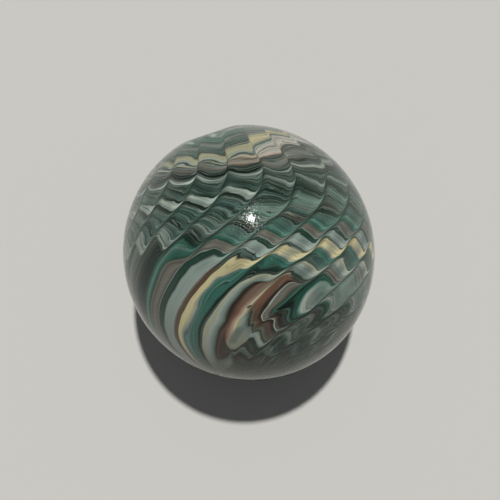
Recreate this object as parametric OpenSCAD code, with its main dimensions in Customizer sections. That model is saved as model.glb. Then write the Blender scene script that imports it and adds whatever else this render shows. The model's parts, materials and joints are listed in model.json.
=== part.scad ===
// Handmade glass marble with a ground pontil flat.
// The ball is a solid of revolution about its pontil axis. It was rounded by hand, so it is a little
// longer along that axis than across it. The scar where it was cut from the rod is ground flat.

/* [Ball] */
// Diameter across the pontil axis
ball_d = 32; // [14:0.5:60]
// How far each pole stands proud of a true ball
pole_rise = 0.4; // [0.1:0.05:1]

/* [Pontil flat] */
// Diameter that the ground flat would have with a sharp edge
flat_d = 6.8; // [3:0.1:10]
// Width that the softened edge takes from the flat
arris_w = 0.3; // [0.1:0.05:1]

/* [Lie] */
// Height of the pontil axis above level, in degrees
pontil_elevation = 23.5; // [-60:0.5:60]
// Turn of the pontil axis from +Y towards -X, in degrees
pontil_turn = 20; // [-180:1:180]

/* [Hidden] */
$fn = 180;

ball_r = ball_d / 2;
// The oval section has four arcs: a barrel arc on each side and a cap arc at each pole. They meet
// tangent to each other, on lines at 45 degrees to the axis.
centre_shift = pole_rise / (2 - sqrt(2));
barrel_r = ball_r + centre_shift;
cap_r = ball_r + pole_rise - centre_shift;
barrel_half = barrel_r * sin(45);

// Height of the ground flat above the ball's centre, where the cap is flat_d across
flat_z = centre_shift + sqrt(cap_r * cap_r - flat_d * flat_d / 4);
// The softened edge leans at half the angle between the flat and the cap
arris_angle = asin(flat_d / 2 / cap_r) / 2;
reach = 2 * ball_d;

// Section of the rounded ball, to the right of the axis
module oval_section() {
    intersection() {
        translate([-centre_shift, 0]) circle(r = barrel_r);
        translate([0, -barrel_half]) square([reach, 2 * barrel_half]);
    }
    for (side = [-1, 1])
        intersection() {
            translate([0, side * centre_shift]) circle(r = cap_r);
            translate([0, side > 0 ? 0 : -reach]) square([reach, reach]);
        }
}

// What the grinding leaves: everything below the flat and inside its softened edge
module ground_limit() {
    flat_r = flat_d / 2 - arris_w;
    polygon([
        [0, -reach],
        [reach, -reach],
        [reach, flat_z - (reach - flat_r) * tan(arris_angle)],
        [flat_r, flat_z],
        [0, flat_z]
    ]);
}

module marble() {
    color([0.36, 0.45, 0.38])
        rotate([0, 0, pontil_turn])
            rotate([pontil_elevation - 90, 0, 0])
                rotate_extrude()
                    intersection() {
                        oval_section();
                        ground_limit();
                    }
}

marble();
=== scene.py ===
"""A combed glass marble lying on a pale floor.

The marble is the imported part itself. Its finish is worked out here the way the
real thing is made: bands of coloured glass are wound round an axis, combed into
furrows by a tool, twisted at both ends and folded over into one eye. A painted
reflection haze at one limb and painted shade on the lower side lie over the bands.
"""
import json
import math
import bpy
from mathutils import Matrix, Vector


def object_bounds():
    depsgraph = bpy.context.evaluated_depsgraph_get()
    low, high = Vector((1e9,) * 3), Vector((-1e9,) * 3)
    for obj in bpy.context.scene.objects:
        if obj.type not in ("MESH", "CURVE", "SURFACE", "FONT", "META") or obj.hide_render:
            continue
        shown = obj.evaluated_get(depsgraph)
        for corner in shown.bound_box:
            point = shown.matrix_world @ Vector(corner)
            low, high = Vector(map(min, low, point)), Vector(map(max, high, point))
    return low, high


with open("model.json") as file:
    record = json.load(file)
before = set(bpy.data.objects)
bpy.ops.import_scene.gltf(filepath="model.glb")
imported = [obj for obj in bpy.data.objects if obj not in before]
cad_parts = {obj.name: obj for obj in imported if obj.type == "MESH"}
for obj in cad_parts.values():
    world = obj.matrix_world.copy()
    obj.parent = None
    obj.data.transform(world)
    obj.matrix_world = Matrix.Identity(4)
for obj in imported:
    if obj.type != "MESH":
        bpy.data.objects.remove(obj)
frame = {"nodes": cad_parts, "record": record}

from types import SimpleNamespace

import bpy
from mathutils import Vector

cad_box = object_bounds()
low, high = cad_box
HALF_SIZE = (high - low) / 2
FLOOR_Z = low[2]

# The view: nearly straight down, as close as the marble is usually held. Camera and lamp start from a
# least-squares fit to the shadow's outline and the highlight in the photo.
CAMERA_ELEVATION = math.radians(75)
CAMERA_DISTANCE = 0.104
TO_CAMERA = Vector((0, -math.cos(CAMERA_ELEVATION), math.sin(CAMERA_ELEVATION)))
LENS_MM = 58.1
SENSOR_MM = 36.0
LENS_SHIFT = (0.0022, 0.0064)
TO_LAMP = Vector((0.045, 0.235, 0.971))

# The swirl is wound round this axis, and longitudes are counted from the front. The axis, the number of
# furrows and the twist curve in swirl_places start from a least-squares fit to furrow points read off
# the photo. They are not free choices.
POLE = Vector((0.030, 0.996, 0.085)).normalized()
FRONT = (TO_CAMERA - POLE * TO_CAMERA.dot(POLE)).normalized()
SIDE = POLE.cross(FRONT)
# The ground flat where the glass left the rod.
PONTIL = next(m for m in frame["record"]["mounts"] if m["name"] == "pontil_flat")
PONTIL_AXIS = Vector(PONTIL["axis"]).normalized()
PONTIL_DISTANCE = Vector(PONTIL["pos_m"]).dot(PONTIL_AXIS)
FURROWS = 24
FURROW_TURN = 360 / FURROWS
# The furrow count starts at the first one, goes up round the axis, and has this value at the front.
FIRST_FURROW = -4.0
FRONT_FURROW = 4.0

# Heights and depths in the skin of the glass, in metres.
SWELL_HEIGHT = 2.0e-6
SPECK_DEPTH = 2.0e-5
GRIND_DEPTH = 1.2e-5
# Two tiny pits beside the eye: furrow count, degrees from the pole, and size in furrow widths.
PITS = ((6.12, 121.3, 0.056), (4.62, 100.2, 0.04))
# Three lays of hair scratches: their turn in radians and their waves per metre.
HAIR_LAYS = ((0.4, 3300.0), (1.3, 4100.0), (2.2, 3700.0))

FLOOR_SIZE = 6.0
FLOOR_COLOUR = (0.585, 0.578, 0.555, 1)
WALL_COLOUR = (0.585, 0.572, 0.54, 1)
CEILING_COLOUR = (0.12, 0.125, 0.13, 1)
SOFT_LIGHT = (0.93, 0.96, 1.0, 1)
SOFT_STRENGTH = 0.13
LAMP_STRENGTH = 2.85
LAMP_SPREAD = math.radians(2.5)
LAMP_COLOUR = (1.0, 0.985, 0.95)

# The colours of the glass rods, as red, green and blue from 0 to 255. They were tuned to mean colours
# measured on the photo, and the band lists below follow colours measured along lines across it.
GLASS = {
    "black": (14, 24, 20),
    "ink": (20, 40, 34),
    "deep_green": (34, 56, 47),
    "green": (34, 66, 54),
    "emerald": (26, 76, 62),
    "teal": (54, 98, 86),
    "pale_teal": (96, 124, 114),
    "sea": (72, 98, 90),
    "smoke": (44, 60, 53),
    "slate": (58, 78, 71),
    "ash": (82, 95, 88),
    "stone": (108, 119, 111),
    "mist": (127, 143, 136),
    "blue_mist": (136, 149, 142),
    "deep_blue": (70, 86, 88),
    "pale": (150, 159, 147),
    "milk": (168, 178, 170),
    "white": (186, 190, 178),
    "cream": (190, 181, 140),
    "straw": (156, 155, 126),
    "olive": (96, 98, 80),
    "mauve": (104, 104, 95),
    "dim_mauve": (74, 72, 64),
    "pink": (164, 148, 134),
    "tan": (106, 92, 80),
    "rust": (112, 80, 64),
    "brown": (86, 66, 54),
    "umber": (48, 42, 34),
    "bark": (66, 62, 50),
}

# The bands from the heart of the eye outwards, in furrow widths.
EYE_HEART = [
    (-0.80, "pale_teal"), (-0.50, "sea"), (-0.32, "sea"), (-0.16, "stone"), (-0.03, "pale"),
    (0.06, "milk"), (0.14, "pale_teal"), (0.21, "emerald"), (0.32, "emerald"), (0.37, "deep_green"),
    (0.395, "black"), (0.42, "black"), (0.45, "deep_green"), (0.50, "teal"), (0.57, "emerald"),
    (0.62, "deep_green"), (0.66, "dim_mauve"), (0.80, "mauve"), (0.93, "mauve"), (0.965, "milk"),
    (0.99, "umber"), (1.07, "umber"), (1.12, "brown"), (1.19, "brown"), (1.22, "olive"), (1.25, "ink"),
    (1.275, "ash"), (1.31, "mist"), (1.36, "straw"), (1.41, "cream"), (1.44, "pink"), (1.60, "rust"),
]
EYE_MIDDLE = [
    (1.60, "rust"), (1.72, "brown"), (1.80, "umber"), (1.87, "umber"), (1.93, "ash"), (2.04, "mist"),
    (2.18, "pale"), (2.27, "straw"), (2.30, "pale"), (2.325, "black"), (2.355, "ash"), (2.38, "black"),
    (2.42, "ink"), (2.47, "deep_green"), (2.53, "teal"), (2.76, "teal"), (2.79, "deep_green"),
    (2.815, "pale_teal"), (2.84, "teal"), (2.93, "teal"), (2.97, "pale_teal"), (3.01, "deep_blue"),
    (3.07, "mist"), (3.13, "straw"), (3.20, "cream"), (3.37, "cream"), (3.41, "black"), (3.45, "slate"),
    (3.49, "ash"), (3.53, "black"), (3.58, "mist"), (3.70, "blue_mist"),
]
EYE_OUTER = [
    (3.70, "blue_mist"), (4.05, "mist"), (4.20, "mist"), (4.25, "smoke"), (4.32, "deep_green"),
    (4.40, "green"), (4.47, "deep_green"), (4.53, "ink"), (4.57, "mist"), (4.61, "dim_mauve"),
    (4.75, "mauve"), (4.95, "mauve"), (5.04, "dim_mauve"), (5.14, "mauve"), (5.22, "green"),
    (5.32, "teal"), (5.42, "pale_teal"), (5.50, "teal"), (5.60, "green"), (5.68, "ink"), (6.10, "ink"),
    (6.25, "smoke"), (6.35, "dim_mauve"), (6.45, "ash"), (6.50, "smoke"),
]
EYE_FAR = [
    (6.50, "smoke"), (6.65, "ash"), (6.85, "mauve"), (7.0, "stone"), (7.1, "deep_green"), (7.25, "teal"),
    (7.4, "green"), (7.5, "ink"), (7.6, "mist"), (7.85, "pale"), (7.95, "sea"), (8.1, "smoke"),
    (8.2, "rust"), (8.35, "pink"), (8.5, "umber"), (8.6, "sea"), (8.8, "stone"), (9.0, "green"),
    (9.2, "ink"), (9.4, "ash"),
]
# The bands below the eye, in degrees from the pole.
LOWER_ROWS = [
    (109, "stone"), (113, "sea"), (116.0, "mist"), (117.2, "milk"), (118.3, "pale_teal"),
    (119.2, "emerald"), (120.4, "emerald"), (120.8, "black"), (121.5, "black"), (121.9, "deep_green"),
    (122.3, "teal"), (122.7, "black"), (123.3, "black"), (123.8, "umber"), (124.8, "black"),
    (125.8, "umber"), (126.3, "brown"), (126.9, "mauve"), (127.3, "milk"), (127.7, "black"),
    (128.6, "umber"), (129.8, "brown"), (130.9, "dim_mauve"), (132.4, "olive"), (133.4, "ink"),
    (134.0, "stone"), (135.0, "pale"), (136.0, "mist"), (136.8, "ash"), (137.6, "ink"),
    (138.8, "umber"), (140, "smoke"),
]
LOWER_FAR = [
    (140, "smoke"), (140.8, "umber"), (141.5, "black"), (142.2, "slate"), (143.2, "stone"),
    (144.4, "ash"), (145.2, "slate"), (145.8, "black"), (146.6, "umber"), (147.6, "black"),
    (148.4, "bark"), (149.8, "black"), (150.8, "slate"), (151.8, "ink"), (153.0, "smoke"),
    (154.2, "slate"), (155.6, "ink"), (157, "smoke"), (160, "umber"), (164, "smoke"), (168, "slate"),
    (172, "smoke"), (180, "slate"),
]
# The bands above the eye, in degrees from the pole: bold ones at the left, softer ones in front.
BOLD_TOP = [
    (2, "mist"), (6, "teal"), (10, "slate"), (14, "milk"), (16, "ash"), (20, "green"), (24, "sea"),
    (27, "straw"), (29, "stone"), (32, "smoke"), (36, "sea"), (38, "stone"), (40, "milk"), (41.5, "mist"),
    (42.5, "ash"), (45, "teal"), (48, "slate"), (49.4, "stone"), (51.2, "ash"), (53.2, "sea"),
    (54.2, "smoke"), (55.2, "ash"), (56.2, "straw"), (58.8, "straw"), (59.8, "mist"), (60.6, "smoke"),
    (61.2, "smoke"), (61.5, "milk"), (61.9, "straw"), (62.2, "umber"), (62.6, "ash"),
]
BOLD_ROWS = [
    (62.6, "ash"), (63.0, "stone"), (63.6, "mauve"), (64.3, "dim_mauve"), (64.9, "ink"),
    (65.6, "black"), (66.6, "ink"), (68.3, "black"), (68.8, "stone"), (69.3, "milk"), (69.8, "mist"),
    (70.4, "smoke"), (71.2, "slate"), (71.8, "ink"), (72.6, "slate"), (73.4, "smoke"), (74.6, "slate"),
    (75.4, "deep_green"), (76.6, "black"), (76.9, "mist"), (77.6, "pale"), (79.0, "mist"),
    (79.9, "stone"), (80.3, "black"), (82.2, "slate"), (83.4, "sea"), (84.2, "smoke"), (85.6, "sea"),
    (86.8, "slate"), (87.6, "smoke"), (88.4, "sea"), (90.6, "slate"),
]
BOLD_LAST = [
    (90.6, "slate"), (91.3, "mist"), (92.4, "stone"), (92.8, "ash"), (93.3, "mist"), (94.2, "pale"),
    (94.9, "mist"), (95.3, "smoke"), (95.8, "ink"),
]
SOFT_TOP = [
    (2, "mist"), (6, "teal"), (12, "slate"), (15, "milk"), (18, "ash"), (24, "teal"), (30, "straw"),
    (34, "ash"), (40, "sea"), (46, "stone"), (54, "stone"), (55.8, "straw"), (57.4, "cream"),
    (58.8, "straw"), (59.5, "stone"), (60.0, "ash"), (60.3, "smoke"), (60.6, "mist"), (61.2, "milk"),
    (62.8, "white"), (63.4, "milk"), (63.9, "pink"), (64.4, "dim_mauve"), (65.2, "ash"),
    (67.2, "mauve"), (68.4, "slate"), (69.1, "ink"), (69.5, "pale"), (69.9, "mist"),
]
SOFT_ROWS = [
    (69.9, "mist"), (70.3, "ash"), (71.2, "smoke"), (72.6, "slate"), (74.2, "smoke"), (75.2, "ash"),
    (76.2, "mist"), (77.4, "stone"), (79, "slate"), (80.2, "smoke"), (81.6, "ink"),
    (83.6, "deep_green"), (84.8, "ink"), (85.6, "slate"), (86.4, "smoke"), (87.2, "sea"),
    (88.0, "pale_teal"), (89.4, "pale_teal"), (90.4, "sea"), (91.2, "stone"), (91.9, "sea"),
    (92.6, "smoke"), (93.4, "deep_green"), (94.1, "dim_mauve"), (94.8, "ink"), (95.3, "smoke"),
    (95.8, "black"),
]
# How many degrees the rows above the eye climb towards the pole, by furrow.
ROW_CLIMB = [
    (-4, 0), (1.3, 0), (2.5, -2.4), (3.5, -5.6), (4.5, -8.8), (5.5, -12), (6.5, -15.5), (9, -20), (12, -18),
    (16, -7), (20, 0),
]
# The bands above the eye end at this row, and the eye's own begin inside this distance.
ROWS_END = 95.7
EYE_START = 6.4


def linear(name):
    """A rod's colour as the renderer takes it."""
    channels = [value / 255 for value in GLASS[name]]
    bright = [c / 12.92 if c <= 0.04045 else ((c + 0.055) / 1.055) ** 2.4 for c in channels]
    return (*bright, 1.0)


class Wiring:
    """Adds nodes to a material and joins them."""

    def __init__(self, tree):
        self.tree = tree

    def node(self, kind, *values):
        made = self.tree.nodes.new(kind)
        self.feed(made, values)
        return made

    def feed(self, made, values):
        for socket, value in zip(made.inputs, values):
            self.put(socket, value)

    def put(self, socket, value):
        if isinstance(value, bpy.types.NodeSocket):
            self.tree.links.new(value, socket)
        elif value is not None:
            socket.default_value = value

    def math(self, operation, *values):
        made = self.tree.nodes.new("ShaderNodeMath")
        made.operation = operation
        self.feed(made, values)
        return made.outputs[0]

    def add(self, *values):
        return self.math("ADD", *values)

    def less(self, *values):
        return self.math("SUBTRACT", *values)

    def times(self, first, *others):
        for value in others:
            first = self.math("MULTIPLY", first, value)
        return first

    def length(self, wide, tall):
        return self.math("SQRT", self.add(self.times(wide, wide), self.times(tall, tall)))

    def vector(self, operation, *values):
        made = self.tree.nodes.new("ShaderNodeVectorMath")
        made.operation = operation
        self.feed(made, values)
        return made

    def along(self, place, axis):
        return self.vector("DOT_PRODUCT", place, tuple(axis)).outputs["Value"]

    def spread(self, value, start, end, first=0.0, last=1.0, kind="LINEAR"):
        made = self.tree.nodes.new("ShaderNodeMapRange")
        made.interpolation_type = kind
        self.feed(made, (value, start, end, first, last))
        return made.outputs[0]

    def rise(self, value, start, end):
        return self.spread(value, start, end, kind="SMOOTHSTEP")

    def fall(self, value, start, end):
        return self.spread(value, start, end, 1.0, 0.0, kind="SMOOTHSTEP")

    def window(self, value, opens, full, closing, closed):
        """1 between full and closing, and 0 before it opens and once it has closed."""
        return self.times(self.rise(value, opens, full), self.fall(value, closing, closed))

    def blend(self, share, first, second):
        """first where share is 0 and second where it is 1."""
        made = self.tree.nodes.new("ShaderNodeMix")
        self.put(made.inputs[0], share)
        self.put(made.inputs[2], first)
        self.put(made.inputs[3], second)
        return made.outputs[0]

    def tint(self, share, first, second, mode="MIX"):
        made = self.tree.nodes.new("ShaderNodeMix")
        made.data_type = "RGBA"
        made.blend_type = mode
        self.put(made.inputs[0], share)
        self.put(made.inputs[6], first)
        self.put(made.inputs[7], second)
        return made.outputs[2]

    def lay(self, colour, rod, *shares):
        """A rod's colour laid over another, as much as the shares multiplied."""
        return self.tint(self.times(*shares), colour, linear(rod))

    def curve(self, value, points, handles="AUTO_CLAMPED"):
        """A smooth curve through (value, result) points."""
        across = [p[0] for p in points]
        up = [p[1] for p in points]
        start, end, bottom, top = across[0], across[-1], min(up), max(up)
        made = self.tree.nodes.new("ShaderNodeFloatCurve")
        line = made.mapping.curves[0]
        spots = [((x - start) / (end - start), (y - bottom) / (top - bottom)) for x, y in points]
        line.points[0].location = spots[0]
        line.points[-1].location = spots[-1]
        for x, y in spots[1:-1]:
            line.points.new(x, y)
        for point in line.points:
            point.handle_type = handles
        made.mapping.update()
        self.put(made.inputs["Value"], self.spread(value, start, end))
        return self.math("MULTIPLY_ADD", made.outputs[0], top - bottom, bottom)

    def ramp(self, value, bands):
        """Colours along a line of (value, rod) stops."""
        start, end = bands[0][0], bands[-1][0]
        made = self.tree.nodes.new("ShaderNodeValToRGB")
        stops = made.color_ramp.elements
        while len(stops) < len(bands):
            stops.new(1.0)
        for stop, (spot, rod) in zip(stops, bands):
            stop.position = (spot - start) / (end - start)
            stop.color = linear(rod)
        self.put(made.inputs[0], self.spread(value, start, end))
        return made.outputs[0]

    def ramps(self, value, *parts):
        """Colours along a line that has more stops than one ramp can hold."""
        colour = self.ramp(value, parts[0])
        for bands in parts[1:]:
            beyond = self.math("GREATER_THAN", value, bands[0][0])
            colour = self.tint(beyond, colour, self.ramp(value, bands))
        return colour

    def mapped(self, place, rotation, scale):
        made = self.tree.nodes.new("ShaderNodeMapping")
        made.inputs["Rotation"].default_value = rotation
        made.inputs["Scale"].default_value = scale
        self.put(made.inputs["Vector"], place)
        return made.outputs[0]

    def noise(self, place, scale, detail=2.0, roughness=0.5):
        made = self.tree.nodes.new("ShaderNodeTexNoise")
        self.put(made.inputs["Vector"], place)
        made.inputs["Scale"].default_value = scale
        made.inputs["Detail"].default_value = detail
        made.inputs["Roughness"].default_value = roughness
        return made.outputs[0]

    def join(self, x=0.0, y=0.0, z=0.0):
        return self.node("ShaderNodeCombineXYZ", x, y, z).outputs[0]

    def soft_max(self, first, second, reach):
        return self.math("SMOOTH_MAX", first, second, reach)


def swirl_places(w):
    """The place on the part, the same on a true ball, the furrow count and the degrees from the pole."""
    place = w.node("ShaderNodeTexCoord").outputs["Object"]
    ball = w.vector("DIVIDE", place, tuple(HALF_SIZE)).outputs[0]
    ball = w.vector("NORMALIZE", ball).outputs[0]
    to_degrees = math.degrees(1.0)
    down = w.times(w.math("ARCCOSINE", w.along(ball, POLE)), to_degrees)
    round_by = w.times(w.math("ARCTAN2", w.along(ball, SIDE), w.along(ball, FRONT)), to_degrees)
    # The fit, moved: from 75 to 150 degrees it is within 2 degrees of what the fit gave.
    twist = w.curve(down, [
        (0, 3), (30, 9), (45, 13), (52, 15.5), (60, 18.6), (67, 19.6), (75, 17.9), (90, 4.3),
        (105, -13.4), (120, -30.2), (135, -45), (150, -53), (180, -60)])
    wander = w.spread(w.noise(ball, 3.0, 2.0), 0.25, 0.75, -1.2, 1.2)
    furrow = w.add(w.times(w.less(w.add(round_by, wander), twist), 1 / FURROW_TURN), FRONT_FURROW)
    lag = w.curve(down, [
        (20, 0), (48, 0.3), (56, 0.55), (62, 0.35), (66, 0.15), (70, 0.05), (75, -0.06), (80, -0.17),
        (85, -0.18), (90, -0.15), (95, -0.05), (101, 0), (180, 0)])
    lag = w.times(lag, w.curve(furrow, [(-4, 0), (4.2, 0), (5, 0.5), (6, 1), (9, 1), (14, 0), (20, 0)]))
    furrow = w.math("WRAP", w.less(furrow, lag), FIRST_FURROW + FURROWS, FIRST_FURROW)
    return place, ball, furrow, down


def corner_start(w, furrow):
    """Degrees from the pole where each band begins to turn down beside the eye."""
    return w.curve(furrow, [
        (-4, 97), (2.5, 97), (3.5, 99.5), (4.5, 103), (5.5, 106.5), (6.5, 108), (20, 110)])


def combed(w, furrow, down):
    """Degrees from the pole before the tool dragged the glass, and the place inside a furrow."""
    shift = w.curve(down, [
        (100, 0), (112, 0.1), (122, 0.26), (134, 0.2), (144, 0), (154, -0.25), (170, -0.3)])
    stroke = w.less(furrow, w.times(shift, w.rise(furrow, 6.8, 7.4)))
    across = w.math("FRACT", stroke)
    sharp = w.curve(across, [
        (0, -0.20), (0.03, -0.42), (0.09, -0.44), (0.3, -0.20), (0.5, 0.02), (0.7, 0.22), (0.88, 0.42),
        (0.94, 0.36), (1, -0.20)])
    humped = w.curve(across, [
        (0, -0.16), (0.05, -0.38), (0.12, -0.44), (0.3, -0.26), (0.5, -0.02), (0.7, 0.25), (0.82, 0.42),
        (0.88, 0.44), (0.93, 0.28), (0.965, 0.08), (1, -0.16)])
    wavy = w.curve(across, [
        (0, -0.02), (0.06, -0.24), (0.15, -0.42), (0.28, -0.38), (0.5, -0.10), (0.66, 0.18), (0.8, 0.42),
        (0.88, 0.41), (0.95, 0.20), (1, -0.02)])
    drag = w.blend(w.rise(down, 74, 86), sharp, humped)
    past_eye = w.math("GREATER_THAN", stroke, 8.0)
    drag = w.blend(w.times(w.rise(down, 108, 118), past_eye), drag, wavy)
    # The rows climb round the ball, and the tool pressed some of them into lens shapes.
    along = w.less(down, w.curve(furrow, ROW_CLIMB))
    reach = w.curve(along, [
        (0, 0), (8, 0), (38, 3.6), (56, 3.6), (62, 3.2), (66, 1.8), (70, 2.2), (74, 5.0), (82, 6.4),
        (135, 6.6), (168, 2.0), (180, 0)])
    reach = w.times(reach, w.rise(down, 4, 26))
    gentle = w.times(w.fall(furrow, 1.8, 2.8), w.window(down, 73, 77, 85, 91))
    reach = w.times(reach, w.less(1.0, w.times(gentle, 0.28)))
    drawn = w.times(w.rise(down, 112, 126), past_eye, w.fall(furrow, 13.0, 14.5))
    reach = w.times(reach, w.add(1.0, w.times(drawn, 0.6)))
    plain = w.curve(furrow, [(-4, 1), (6.3, 1), (7.3, 0), (13, 0), (15, 1), (20, 1)])
    uncombed = w.times(plain, w.rise(w.less(down, corner_start(w, furrow)), 0, 6), 0.9)
    reach = w.times(reach, w.less(1.0, uncombed))
    number = w.math("FLOOR", stroke)
    uneven = w.noise(w.join(w.times(number, 2.7), w.times(down, 0.05)), 1.0, 1.0)
    reach = w.times(reach, w.spread(uneven, 0.3, 0.7, 0.86, 1.12))
    bulge = w.curve(along, [
        (40, 0), (50, 0), (54, -0.8), (58, -3.0), (61, -1.0), (64, 0.6), (68, 2.6), (71, 2.2),
        (75, 0.5), (80, 0), (90, 0)])
    bulge = w.times(bulge, w.curve(furrow, [(-4, 1), (3.5, 1), (5.5, 0.5), (20, 0.7)]))
    arch = w.less(w.times(across, w.less(1.0, across), 4.0), 0.6)
    slip = w.noise(w.join(w.times(number, 4.3), w.times(down, 0.12), 7.0), 1.0, 2.0)
    level = w.less(w.less(down, w.times(reach, drag)), w.times(bulge, arch))
    return w.add(level, w.spread(slip, 0.25, 0.75, -0.6, 0.6)), across


def band_rows(w, furrow, level):
    """Degrees from the pole where the band lies before it climbs round the ball."""
    top = w.curve(furrow, [
        (-4, 0), (1.4, 0), (2, -3.5), (2.5, -9), (3.5, -16), (4.5, -21.5), (5.5, -24), (8, -27), (12, -20),
        (16, -8), (20, 0)])
    middle = w.curve(furrow, ROW_CLIMB)
    wedge = w.curve(furrow, [
        (-4, 0), (1.5, 0), (1.95, -0.6), (2.05, -3.1), (2.5, -4.2), (2.95, -4.6), (3.05, -7.5), (3.5, -9.6),
        (4.5, -12.4), (5.5, -17), (6.5, -19), (9, -23), (12, -18), (16, -7), (20, 0)])
    bottom = w.curve(furrow, [
        (-4, 0.5), (0.5, 0.3), (1.5, 0), (2.5, -1.6), (3.5, -5.1), (4.5, -9.0), (5.5, -12.9), (6.5, -16.4),
        (7.5, -19), (8.5, -21), (9.5, -22), (12, -19), (16, -8), (20, 0.5)])
    climb = w.blend(w.rise(level, 36, 66), top, middle)
    climb = w.blend(w.rise(level, 63, 72), climb, wedge)
    climb = w.blend(w.rise(level, 74, 86), climb, bottom)
    row = w.less(level, climb)
    # Each band lies thicker in the furrow where it turns down beside the eye.
    step = w.curve(w.math("FRACT", furrow), [(0, 0), (0.86, 0), (0.96, 0.6), (1, 1)])
    stair = w.add(w.math("FLOOR", furrow), step)
    flat_climb = w.curve(stair, [(0, 0), (2, -0.6), (3, -3.2), (4, -7.0), (5, -11.0), (6, -14.6)])
    turned = w.less(level, flat_climb)
    turned = w.less(turned, w.curve(furrow, [(0, 2.6), (3.5, 2.0), (4.5, 1.6), (6, 1.6)]))
    share = w.spread(w.less(level, corner_start(w, furrow)), 0, 6)
    share = w.times(share, w.spread(furrow, 4.97, 5.06, 1.0, 0.0), w.rise(furrow, 1.8, 2.1))
    return w.blend(share, row, turned)


def furrow_lean(w, furrow, down):
    """How far the bands beside the eye swing to the left on their way down, in furrow widths."""
    early = w.curve(furrow, [
        (-4, 0), (4.1, 0), (4.3, -0.05), (4.42, -0.11), (4.5, -0.2), (4.75, -0.1), (5.0, 0),
        (5.15, -0.02), (5.5, -0.12), (5.8, -0.1), (6.02, -0.04), (6.13, -0.07), (6.3, -0.03),
        (6.5, 0.02), (7, 0), (20, 0)])
    first = w.curve(furrow, [
        (-4, 0), (4.1, 0), (4.4, 0.05), (4.65, 0.12), (4.75, 0.05), (5.0, 0), (5.2, 0.03), (5.62, 0),
        (6.06, 0), (6.22, 0.01), (6.35, 0.09), (6.6, 0.23), (6.7, 0.28), (6.85, 0.2), (6.95, 0.1),
        (7.07, 0.02), (7.3, 0), (20, 0)])
    second = w.curve(furrow, [
        (-4, 0), (4.1, 0), (4.4, 0.05), (4.72, 0.19), (4.84, 0.14), (5.0, 0), (5.25, 0.075),
        (5.83, 0.21), (6.0, 0.15), (6.18, 0.12), (6.35, 0.2), (6.5, 0.29), (6.65, 0.4), (6.85, 0.54),
        (7.1, 0.7), (7.3, 0.4), (7.6, 0), (20, 0)])
    third = w.curve(furrow, [
        (-4, 0), (4.1, -0.05), (4.25, -0.12), (4.5, -0.03), (4.82, 0.12), (5.0, 0), (5.22, 0.045),
        (5.88, 0.26), (6.1, 0.28), (6.38, 0.32), (6.7, 0.55), (7.0, 0.82), (7.15, 0.93), (7.5, 0.6),
        (8.2, 0), (20, 0)])
    lean = w.blend(w.spread(down, 114, 122), early, first)
    lean = w.blend(w.spread(down, 122, 128), lean, second)
    lean = w.blend(w.spread(down, 128, 136), lean, third)
    ripple = w.noise(w.join(w.times(furrow, 0.5), w.times(down, 0.045), 3.0), 1.0, 1.0)
    ripple = w.times(w.spread(ripple, 0.25, 0.75, -0.05, 0.05), w.rise(down, 104, 114))
    return w.add(lean, ripple)


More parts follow.
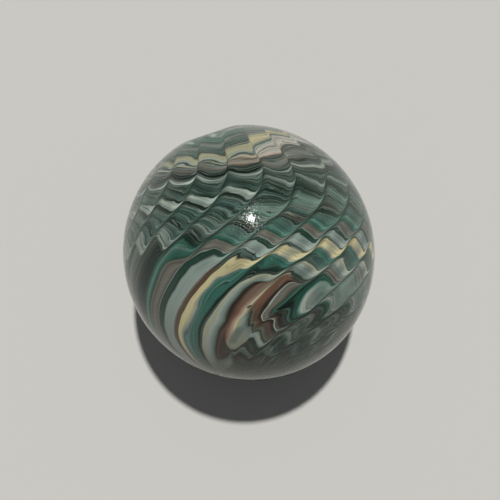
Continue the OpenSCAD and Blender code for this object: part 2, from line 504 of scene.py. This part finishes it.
def eye_distance(w, furrow, down, level, row):
    """How far out from the heart of the eye, in furrow widths, and where its lower bands and its top are.

    The way out is measured over the top of the eye, beside it and under it, and the longest one counts.
    """
    over = w.curve(row, [
        (90, 6.9), (95.5, 6.5), (96, 6.1), (97.2, 5.66), (100.4, 5.25), (100.8, 5.2), (103.4, 4.62),
        (103.8, 4.55), (105.3, 4.27), (105.7, 4.20), (108.8, 3.58), (109.5, 3.41), (113.6, 3.13),
        (114.0, 2.97), (114.6, 2.75), (115.9, 2.51), (116.3, 2.46), (118.6, 2.39), (119.2, 2.34),
        (119.8, 2.28), (123.3, 1.95), (123.9, 1.80), (124.4, 1.30), (125.0, 1.10), (125.5, 0.965),
        (126.0, 0.60), (126.6, 0.36), (127.2, 0.20), (127.9, 0.09), (128.6, -0.02), (129.4, -0.2),
        (131, -0.6)], "VECTOR")
    beside = w.curve(w.less(furrow, furrow_lean(w, furrow, down)), [
        (-4, 9.4), (-1, 8.1), (0.95, 6.55), (1.25, 6.25), (6.12, 1.38), (6.26, 1.22), (6.42, 0.965),
        (6.82, 0.65), (7.05, 0.42), (7.15, 0.33), (7.25, 0.2), (7.38, 0.06), (7.5, -0.08), (7.7, -0.3),
        (8.2, -0.6), (10, -0.8), (13, -0.4), (14, 0.6), (16, 3.6), (18, 6.9), (20, 9.4)], "VECTOR")
    sink = w.curve(furrow, [
        (-4, -12), (4, -12), (5.5, -8), (6.5, -4), (7.0, -1.0), (7.5, -1.8), (7.9, -3.0), (8.1, -1.4),
        (8.5, -0.8), (9.5, 1.5), (11, 3), (14, 0), (18, -8), (20, -12)])
    sunk = w.add(level, w.times(sink, w.spread(level, 112, 120, 0.3, 1.0)))
    under = w.curve(sunk, [
        (110, -0.9), (114, -0.35), (116, -0.1), (117.4, 0.03), (118.5, 0.12), (119.5, 0.22),
        (120.8, 0.33), (121.6, 0.40), (122.6, 0.48), (125.6, 0.63), (126.4, 0.8), (127.3, 0.965),
        (128.6, 1.06), (130.5, 1.13), (131.6, 1.20), (133.4, 1.24), (133.9, 1.27), (137, 1.31),
        (140.5, 1.34), (141.4, 1.45), (142.2, 1.72), (143, 1.83), (143.8, 1.86), (145, 1.94),
        (148, 2.06), (153, 2.3), (160, 3.2), (180, 5.5)], "VECTOR")
    roundness = w.curve(furrow, [
        (-4, 0.5), (3, 0.5), (4.15, 0.35), (4.5, 1.5), (4.9, 1.2), (5.05, 0.5), (5.3, 1.6), (5.9, 1.5),
        (6.1, 0.7), (6.4, 1.4), (6.9, 1.2), (7.1, 0.4), (7.4, 1.0), (9, 0.8), (20, 0.5)])
    out = w.soft_max(over, beside, roundness)
    below = w.rise(w.less(under, out), -0.03, 0.05)
    crown = w.rise(w.less(over, beside), -0.1, 0.2)
    # The heart of the eye has a round corner, and the bands outside it have sharp ones.
    heart = w.times(w.fall(under, 0.25, 0.45), w.rise(furrow, 7.1, 7.3))
    below = w.times(below, w.less(1.0, w.times(heart, w.fall(furrow, 7.9, 8.2))))
    return w.soft_max(out, under, w.blend(heart, 0.25, 0.9)), sunk, below, crown


def streak_noise(w, f, per_row, per_furrow, per_degree, detail, roughness=0.5):
    """A noise that is fine across the bands and long down the furrows."""
    place = w.join(w.times(f.spot, per_row), w.times(f.furrow, per_furrow), w.times(f.down, per_degree))
    return w.noise(place, 1.0, detail, roughness)


def swirl_fields(w, furrow, down):
    """The measures that the colours are read from.

    level, row: degrees from the pole before the combing, and before the bands climbed.
    out, sunk: the distance from the heart of the eye, and the rows below it.
    above, below, crown, settled: 1 above the eye, below it, over its top, and where the bands run smoothly.
    """
    f = SimpleNamespace(furrow=furrow, down=down)
    f.level, f.across = combed(w, furrow, down)
    f.middle = w.window(f.across, 0.2, 0.5, 0.55, 0.85)
    f.past_corner = w.less(down, corner_start(w, furrow))
    f.settled = w.times(w.rise(f.past_corner, 2, 9), w.fall(furrow, 6.8, 7.2))
    row = band_rows(w, furrow, f.level)
    out, sunk, f.below, f.crown = eye_distance(w, furrow, down, f.level, row)
    f.above = w.times(w.math("LESS_THAN", row, ROWS_END), w.math("GREATER_THAN", out, EYE_START))

    # Streaks run along the bands and make them wander a little.
    f.spot = w.blend(f.above, w.times(out, 6.0), row)
    f.drift = streak_noise(w, f, 0.55, 0.35, 0.03, 1.5)
    row = w.add(row, w.spread(f.drift, 0.25, 0.75, -0.8, 0.8))
    drifting = w.less(1.0, w.times(f.settled, 0.7))
    f.out = w.add(out, w.times(w.spread(f.drift, 0.25, 0.75, -0.04, 0.04), drifting))
    wave = w.noise(w.join(w.times(sunk, 0.5), w.times(furrow, 0.5), 5.0), 1.0, 1.5)
    f.sunk = w.add(sunk, w.spread(wave, 0.25, 0.75, -0.5, 0.5))

    # The white band is a wedge in each furrow: thin where it starts and thick where it ends.
    wedge = w.curve(f.across, [(0, 1.5), (0.1, 1.3), (0.5, 0.4), (0.8, -0.2), (0.92, 0.2), (1, 1.5)])
    wedge = w.add(wedge, w.times(w.rise(furrow, 1.98, 2.05), 0.9))
    f.white_band = w.times(w.window(row, 72, 76.4, 77.6, 80.2), w.fall(furrow, 2.95, 3.05))
    f.row = w.less(row, w.times(f.white_band, wedge))
    return f


def band_colour(w, f):
    """The bands above the eye."""
    soft = w.curve(f.furrow, [(-4, 0), (2.9, 0), (3.05, 1), (14, 1), (18, 0), (20, 0)])
    bold_rows = w.ramps(f.row, BOLD_TOP, BOLD_ROWS, BOLD_LAST)
    soft_rows = w.ramps(f.row, SOFT_TOP, SOFT_ROWS)
    rows = w.tint(soft, bold_rows, soft_rows)
    rosy = w.times(w.window(f.row, 60.5, 61.5, 63.6, 64.6), w.window(f.furrow, 1.97, 2.03, 4.6, 5.4))
    rows = w.lay(rows, "pink", rosy, 0.45)
    dark = w.times(w.rise(f.row, 91.2, 92.4), w.window(f.furrow, 2.0, 2.08, 2.92, 3.0))
    return w.lay(rows, "ink", dark, 0.75)


def tongue_colour(w, f, eye):
    """The pale tongue of the eye, grey low down, between its rusty sides and inside a dark rim."""
    pale = w.curve(f.out, [(1.26, 0), (1.29, 1), (1.46, 1), (1.52, 0)])
    low = w.times(w.window(f.furrow, 6.28, 6.5, 7.14, 7.22), w.rise(f.down, 128, 133))
    eye = w.lay(eye, "stone", pale, low, 0.8)
    outer_side = w.curve(f.out, [(1.42, 0), (1.50, 1), (1.64, 1), (1.80, 0)])
    eye = w.lay(eye, "tan", outer_side, w.fall(f.down, 113, 124), 0.8)
    inner_side = w.curve(f.out, [(1.12, 0), (1.2, 1), (1.31, 1), (1.35, 0)], "VECTOR")
    eye = w.lay(eye, "rust", inner_side, w.fall(f.down, 119, 126), 0.85)
    past_tip = w.less(f.down, w.curve(f.furrow, [
        (5.8, 128), (6.05, 132), (6.2, 136.5), (6.4, 140.5), (6.7, 143), (6.9, 142), (7.05, 139.5),
        (7.2, 137)]))
    rim = w.times(w.rise(past_tip, -0.6, 0.8), w.fall(f.out, 1.80, 1.86))
    rim = w.times(rim, w.window(f.furrow, 5.8, 5.95, 7.1, 7.25), w.rise(f.down, 130, 134))
    rim_colour = w.tint(w.rise(f.furrow, 5.95, 6.2), linear("brown"), linear("umber"))
    eye = w.tint(w.times(rim, 0.92), eye, rim_colour)
    return eye


def eye_colour(w, f):
    """The bands round the eye and below it."""
    eye = w.ramps(f.out, EYE_HEART, EYE_MIDDLE, EYE_OUTER, EYE_FAR)
    # The seam beside the eye is brown where it runs down.
    seam = w.curve(f.out, [(3.4, 0), (3.45, 0.9), (3.58, 0.8), (3.66, 0)])
    eye = w.lay(eye, "brown", seam, w.rise(f.down, 102, 107), w.fall(f.furrow, 4.2, 4.5))
    eye = tongue_colour(w, f, eye)
    # The pale crescent in the heart of the eye fades towards its top.
    fading = w.times(w.fall(f.out, 0.1, 0.2), w.fall(f.down, 109, 116), w.rise(f.furrow, 7.0, 7.2))
    eye = w.lay(eye, "pale_teal", fading, 0.75)
    # Low in the tongue lies a blue-grey cloud.
    cloud = w.curve(f.furrow, [(6.35, 0), (6.52, 1), (6.62, 1), (6.8, 0)])
    cloud = w.times(cloud, w.window(f.out, 1.28, 1.32, 1.5, 1.6), w.window(f.down, 129, 133, 138, 141))
    eye = w.lay(eye, "slate", cloud, 0.5)
    # Over the top of the eye the bands between its rust and its pale rim are squeezed to one dark one.
    squeezed = w.curve(f.out, [(1.10, 0), (1.18, 1), (1.86, 1), (1.96, 0)], "VECTOR")
    squeezed = w.times(f.crown, squeezed, w.rise(f.furrow, 6.15, 6.28))
    crown_colour = w.tint(w.rise(f.furrow, 6.95, 7.05), linear("smoke"), linear("mauve"))
    eye = w.tint(w.times(squeezed, 0.9), eye, crown_colour)
    # Two dark bands thin out as they run round to the right.
    inner = w.curve(f.out, [(2.34, 0), (2.38, 1), (2.48, 1), (2.54, 0)])
    inner = w.times(inner, w.rise(f.furrow, 5.97, 6.04))
    eye = w.lay(eye, "sea", inner, w.spread(f.across, 0.1, 0.5, 0.3, 0.85))
    outer = w.curve(f.out, [(5.5, 0), (5.7, 1), (6.2, 1), (6.4, 0)])
    eye = w.lay(eye, "sea", outer, w.rise(f.furrow, 2.97, 3.04), 0.85)
    # The bands below the eye have their own colours.
    lower = w.ramps(f.sunk, LOWER_ROWS, LOWER_FAR)
    eye = w.tint(w.times(f.below, w.rise(f.furrow, 6.5, 6.9)), eye, lower)
    grey = w.times(w.rise(f.furrow, 8.0, 8.4), w.window(f.sunk, 126, 127.5, 132, 134), f.below)
    return w.lay(eye, "stone", grey, 0.85)


def lay_clouds(w, f, colour):
    """Clouds in the pale bands round the eye, one in the middle of each furrow."""
    creamy = w.curve(f.out, [(3.05, 0), (3.18, 1), (3.36, 1), (3.44, 0)])
    colour = w.lay(colour, "pale", creamy, f.middle, w.rise(f.furrow, 4.8, 5.1), 0.6)
    banded = w.curve(f.out, [
        (0, 0), (1.30, 0), (1.38, 0.7), (1.44, 0), (1.98, 0), (2.12, 1), (2.27, 0), (2.95, 0), (3.08, 0.7),
        (3.2, 0.2), (3.3, 0), (3.58, 0.1), (3.75, 0.6), (4.0, 0.6), (4.2, 0), (6.0, 0)], "VECTOR")
    return w.lay(colour, "deep_blue", banded, w.less(1.0, f.settled), f.middle, 0.55)


def lay_patch(w, f, ball, colour):
    """A patch of pale teal beside the ground flat."""
    away = w.length(w.times(w.less(f.furrow, 1.0), 0.9), w.times(w.less(f.down, 37.0), 0.12))
    patch = w.fall(w.add(away, w.spread(f.drift, 0.3, 0.7, -0.3, 0.3)), 0.7, 1.1)
    cloud = w.noise(ball, 7.0, 3.0, 0.6)
    patch_colour = w.tint(w.rise(cloud, 0.42, 0.58), linear("milk"), linear("teal"))
    return w.tint(w.times(patch, 0.85), colour, patch_colour)


def lay_threads(w, f, colour):
    """Fine threads and lines of light and dark glass drawn out along the bands."""
    under_eye = w.blend(w.rise(f.furrow, 8.0, 8.3), 0.3, 0.8)
    beside_eye = w.blend(f.settled, 0.35, 0.1)
    strong = w.blend(f.above, w.blend(f.below, beside_eye, under_eye), 1.0)
    thread = streak_noise(w, f, 1.1, 0.3, 0.02, 2.0, 0.6)
    colour = w.lay(colour, "stone", w.rise(thread, 0.56, 0.62), strong, 0.45)
    colour = w.lay(colour, "black", w.fall(thread, 0.38, 0.44), strong, 0.62)

    straw_band = w.times(w.window(f.row, 53, 55, 59, 60.5), f.above)
    strong = w.times(strong, w.fall(f.down, 126, 138), w.less(1.0, f.white_band))
    strong = w.times(strong, w.less(1.0, w.times(straw_band, 0.8)))
    lines = streak_noise(w, f, 0.9, 0.22, 0.02, 1.0)
    for rod, height, share in (("pale", 0.56, 0.45), ("black", 0.44, 0.75)):
        line = w.fall(w.math("ABSOLUTE", w.less(lines, height)), 0.003, 0.02)
        colour = w.lay(colour, rod, line, strong, share)
    return colour


def lay_veils_and_painted_light(w, f, colour):
    """Veils: painted reflection at the left limb, greyer bands at the right and back, painted shade below.
    """
    # Pale mist over the left limb, above where it faces the shadow: a painted reflection haze.
    painted_limb_reflection = w.times(w.fall(f.furrow, -1.4, 0.4), w.fall(f.down, 104, 116))
    colour = w.lay(colour, "mist", painted_limb_reflection, 0.4)
    upper = w.curve(f.furrow, [
        (-4, 0.4), (-1.5, 0.1), (0.2, 0), (4.6, 0), (6.4, 1), (13, 1), (17, 0.8), (20, 0.4)])
    colour = w.lay(colour, "sea", upper, w.fall(f.level, 76, 92), 0.34)
    right = w.curve(f.furrow, [(-4, 0), (7.6, 0), (9.0, 1), (12, 1), (15, 0), (20, 0)])
    colour = w.lay(colour, "slate", right, w.rise(f.level, 98, 110), 0.3)
    # Darker towards the lower pole, the side turned from the lamp: painted shade.
    colour = w.lay(colour, "bark", w.rise(f.down, 146, 160), 0.65)
    colour = w.lay(colour, "umber", w.rise(f.down, 138, 152), 0.25)
    # A pale pool beside the heart of the eye.
    pool = w.times(w.window(f.furrow, 7.9, 8.1, 8.8, 9.8), w.window(f.level, 101, 104, 112, 115))
    return w.lay(colour, "mist", pool, 0.55)


def lay_strands(w, f, colour):
    """Strands that follow the furrows low on the marble: the colour with them, and how bright they are."""
    strand = w.noise(w.join(w.times(f.furrow, 5.0), w.times(f.down, 0.07), 2.0), 1.0, 3.0, 0.6)
    beside = w.times(w.rise(f.furrow, 7.7, 8.3), w.rise(f.down, 120, 132))
    drawn = w.math("MAXIMUM", beside, w.rise(f.down, 149, 158))
    colour = w.lay(colour, "deep_green", drawn, 0.4)
    lined = w.times(beside, w.fall(f.down, 146, 154))
    colour = w.lay(colour, "stone", w.rise(strand, 0.54, 0.62), lined, 0.25)
    colour = w.lay(colour, "black", w.fall(strand, 0.38, 0.46), lined, 0.5)
    return colour, w.blend(drawn, 1.0, w.spread(strand, 0.3, 0.7, 0.5, 1.75))


def streak_light(w, f):
    """How much lighter or darker the streaks are, and the ends of each furrow."""
    fine = streak_noise(w, f, 1.2, 0.3, 0.02, 2.0, 0.6)
    light = w.spread(fine, 0.3, 0.7, w.blend(f.settled, 0.7, 0.92), w.blend(f.settled, 1.25, 1.07))
    combed_part = w.times(w.rise(f.down, 58, 70), w.fall(f.past_corner, -2, 4))
    glow = w.times(w.window(f.across, 0.6, 0.92, 0.95, 0.99), combed_part)
    wedge_ends = w.times(f.white_band, w.less(1.0, f.middle))
    round_eye = w.times(w.less(1.0, f.settled), w.less(1.0, f.above), w.fall(f.down, 106, 116))
    ends = w.times(w.less(1.0, w.times(f.middle, 1.6)), round_eye)
    for part, share in ((glow, 0.3), (wedge_ends, 0.2), (ends, 0.12), (f.settled, 0.08)):
        light = w.times(light, w.add(1.0, w.times(part, share)))
    return light


def furrow_lines(w, f):
    """The thin dark line where the stripes of two furrows shear together."""
    edge = w.math("MINIMUM", f.across, w.less(1.0, f.across))
    right = w.rise(f.furrow, 7.1, 7.3)
    width = w.blend(w.times(right, w.rise(f.down, 112, 120)), 0.045, 0.08)
    reached = w.math("MAXIMUM", w.fall(f.past_corner, 0, 5), w.times(right, w.fall(f.down, 148, 156)))
    strength = w.blend(w.times(right, w.rise(f.down, 108, 116)), 0.4, 0.75)
    return w.times(w.fall(edge, 0.0, width), w.rise(f.down, 40, 56), reached, strength)


def swirl_colour(w, ball, furrow, down):
    """The colour of the glass all over the marble, with painted reflection and painted shade laid over it.
    """
    f = swirl_fields(w, furrow, down)
    colour = w.tint(f.above, eye_colour(w, f), band_colour(w, f))
    colour = lay_clouds(w, f, colour)
    colour = lay_patch(w, f, ball, colour)
    colour = lay_threads(w, f, colour)
    colour = lay_veils_and_painted_light(w, f, colour)
    colour, strand_light = lay_strands(w, f, colour)
    hollow = w.times(w.fall(f.across, 0.0, 0.2), w.rise(down, 60, 72), w.fall(f.past_corner, 0, 10))
    colour = w.lay(colour, "deep_green", hollow, 0.7)
    shade = w.times(streak_light(w, f), strand_light, w.less(1.0, furrow_lines(w, f)))
    return w.tint(1.0, colour, w.join(shade, shade, shade), "MULTIPLY")


def pits(w, furrow, down):
    """The tiny pits beside the eye."""
    found = 0.0
    for across, below, size in PITS:
        away = w.length(w.less(furrow, across), w.times(w.less(down, below), 1 / FURROW_TURN))
        found = w.math("MAXIMUM", found, w.fall(away, size * 0.6, size * 1.2))
    return found


def worn_skin(w, place):
    """Height of the skin in metres, its roughness, and the dark specks in it."""
    hairs = 0.0
    for turn, spacing in HAIR_LAYS:
        scale = (spacing, spacing * 0.06, spacing * 0.06)
        wave = w.noise(w.mapped(place, (turn, turn * 1.7, turn * 0.6), scale), 1.0, 1.0)
        hair = w.fall(w.math("ABSOLUTE", w.less(wave, 0.5)), 0.0, 0.02)
        hair = w.times(hair, w.rise(w.noise(place, spacing * 0.2, 1.0), 0.48, 0.6))
        hairs = w.math("MAXIMUM", hairs, hair)
    cells = w.tree.nodes.new("ShaderNodeTexVoronoi")
    cells.inputs["Scale"].default_value = 330.0
    w.put(cells.inputs["Vector"], place)
    few = w.math("GREATER_THAN", w.along(cells.outputs["Color"], (1, 0, 0)), 0.8)
    specks = w.times(few, w.fall(cells.outputs["Distance"], 0.02, 0.05))
    swell = w.times(w.noise(place, 90.0, 1.0), SWELL_HEIGHT)
    height = w.less(swell, w.times(specks, SPECK_DEPTH))
    # Tiny scuffs only show as glitter round a highlight.
    scuffs = w.rise(w.noise(place, 5200.0, 1.0), 0.57, 0.68)
    haze = w.spread(w.noise(place, 420.0, 4.0, 0.7), 0.35, 0.7, 0.03, 0.065)
    roughness = w.add(w.add(haze, w.times(hairs, 0.22)), w.times(scuffs, 0.25))
    return height, roughness, specks


def make_glass():
    """Swirled opaque glass with a polished skin and one ground flat."""
    glass = bpy.data.materials.new("combed_glass")
    glass.use_nodes = True
    w = Wiring(glass.node_tree)
    skin = glass.node_tree.nodes["Principled BSDF"]
    skin.inputs["IOR"].default_value = 1.45
    skin.inputs["Specular IOR Level"].default_value = 0.42
    place, ball, furrow, down = swirl_places(w)
    colour = swirl_colour(w, ball, furrow, down)
    height, roughness, specks = worn_skin(w, place)
    marks = w.math("MAXIMUM", specks, pits(w, furrow, down))
    colour = w.lay(colour, "black", marks, 0.85)

    # The ground flat: duller, a little paler, with the grinding marks across it.
    flat = w.rise(w.along(place, PONTIL_AXIS), PONTIL_DISTANCE - 8e-5, PONTIL_DISTANCE - 2e-5)
    grind = w.noise(w.mapped(place, (0.3, 0.5, 0.9), (6000.0, 300.0, 300.0)), 1.0, 3.0, 0.6)
    colour = w.lay(colour, "mist", flat, 0.22)
    roughness = w.blend(flat, roughness, w.spread(grind, 0.3, 0.7, 0.24, 0.42))
    height = w.less(height, w.times(flat, grind, GRIND_DEPTH))
    bump = w.tree.nodes.new("ShaderNodeBump")
    bump.inputs["Strength"].default_value = 1.0
    bump.inputs["Distance"].default_value = 1.0
    w.put(bump.inputs["Height"], height)

    w.put(skin.inputs["Base Color"], colour)
    w.put(skin.inputs["Roughness"], roughness)
    w.put(skin.inputs["Normal"], bump.outputs[0])
    return glass


def make_floor():
    """A plain pale floor under the marble."""
    bpy.ops.object.select_all(action="DESELECT")
    bpy.ops.mesh.primitive_plane_add(size=FLOOR_SIZE, location=(0, 0, FLOOR_Z))
    floor = bpy.context.object
    floor.name = "floor"
    paint = bpy.data.materials.new("pale_floor")
    paint.use_nodes = True
    skin = paint.node_tree.nodes["Principled BSDF"]
    skin.inputs["Base Color"].default_value = FLOOR_COLOUR
    skin.inputs["Roughness"].default_value = 0.9
    skin.inputs["Specular IOR Level"].default_value = 0.1
    floor.data.materials.append(paint)


def make_lights():
    """One small warm lamp high up, and soft light from all round."""
    lamp = bpy.data.lights.new("key", "SUN")
    lamp.energy = LAMP_STRENGTH
    lamp.angle = LAMP_SPREAD
    lamp.color = LAMP_COLOUR
    key = bpy.data.objects.new("key", lamp)
    bpy.context.scene.collection.objects.link(key)
    key.rotation_euler = TO_LAMP.to_track_quat("Z", "Y").to_euler()
    key.location = TO_LAMP * 0.5
    world = bpy.data.worlds.new("studio")
    bpy.context.scene.world = world
    world.use_nodes = True
    world.node_tree.nodes.clear()
    w = Wiring(world.node_tree)
    soft = w.node("ShaderNodeBackground", SOFT_LIGHT, SOFT_STRENGTH).outputs[0]
    path = w.node("ShaderNodeLightPath")
    seen = w.math("MAXIMUM", path.outputs["Is Camera Ray"], path.outputs["Is Glossy Ray"])
    seen = w.math("MAXIMUM", seen, path.outputs["Is Transmission Ray"])
    way = w.node("ShaderNodeTexCoord").outputs["Generated"]
    height = w.along(way, (0, 0, 1))
    walls = w.tint(w.rise(height, 0.02, 0.5), WALL_COLOUR, CEILING_COLOUR)
    backdrop = w.node("ShaderNodeBackground", walls, 1.0).outputs[0]
    both = w.node("ShaderNodeMixShader", seen, soft, backdrop).outputs[0]
    w.node("ShaderNodeOutputWorld", both)


def make_camera():
    """The view from nearly overhead."""
    lens = bpy.data.cameras.new("camera")
    lens.lens = LENS_MM
    lens.sensor_width = SENSOR_MM
    lens.clip_start = 0.005
    lens.clip_end = 20.0
    lens.shift_x, lens.shift_y = LENS_SHIFT
    camera = bpy.data.objects.new("camera", lens)
    bpy.context.scene.collection.objects.link(camera)
    camera.location = TO_CAMERA * CAMERA_DISTANCE
    camera.rotation_euler = TO_CAMERA.to_track_quat("Z", "Y").to_euler()
    bpy.context.scene.camera = camera


marble = frame["nodes"]["marble"]
marble.data.materials[0] = make_glass()
make_floor()
make_lights()
make_camera()
bpy.context.scene.view_settings.view_transform = "Standard"
